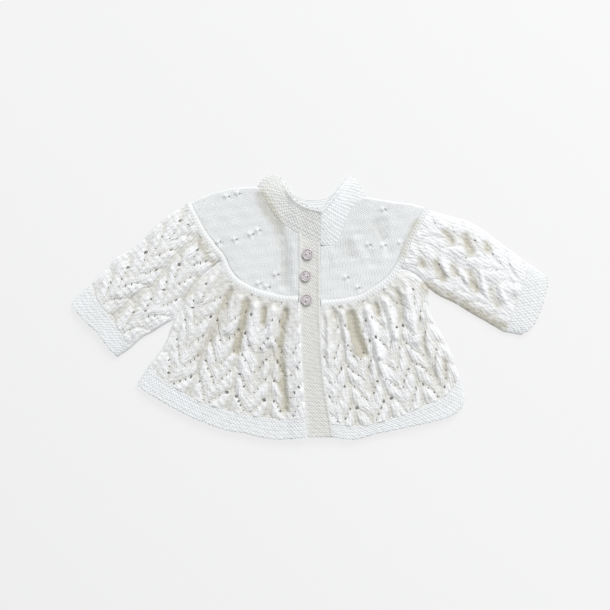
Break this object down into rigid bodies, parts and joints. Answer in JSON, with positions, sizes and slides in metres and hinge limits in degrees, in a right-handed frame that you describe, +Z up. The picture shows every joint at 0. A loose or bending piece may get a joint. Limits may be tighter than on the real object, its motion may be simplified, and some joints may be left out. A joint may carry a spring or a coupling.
{
  "type": "knitted baby matinee jacket",
  "caption": "Hand-knitted baby jacket laid flat: plain yoke, stand collar, gathered lace skirt, lace sleeves, garter welt and bands, buttoned at the yoke.",
  "frame": {"origin": "middle of the jacket's outline, on the surface it lies on", "axes": "+X to the viewer's right along the sleeves, +Y towards the collar, +Z up out of the front"},
  "size_m": [0.4723, 0.2631, 0.0137],
  "materials": {
    "wool": "soft matt ivory-white baby wool, plain and lace knitting",
    "trim_wool": "the same wool in ridged garter stitch",
    "button": "pale pink pearly plastic"
  },
  "bodies": {
    "root": {"back_yoke": "wool", "back_skirt": "wool", "back_hem": "trim_wool", "back_collar": "trim_wool", "right_sleeve_back": "wool", "left_sleeve_back": "wool", "right_cuff_back": "trim_wool", "left_cuff_back": "trim_wool", "right_yoke": "wool", "left_yoke": "wool", "right_welt": "trim_wool", "left_welt": "trim_wool", "right_skirt": "wool", "left_skirt": "wool", "right_hem": "trim_wool", "left_hem": "trim_wool", "right_sleeve_front": "wool", "left_sleeve_front": "wool", "right_cuff_front": "trim_wool", "left_cuff_front": "trim_wool", "right_collar": "trim_wool", "left_collar": "trim_wool", "button_band": "trim_wool", "buttonhole_band": "trim_wool", "button_top": "button", "button_middle": "button", "button_bottom": "button"}
  },
  "joints": []
}
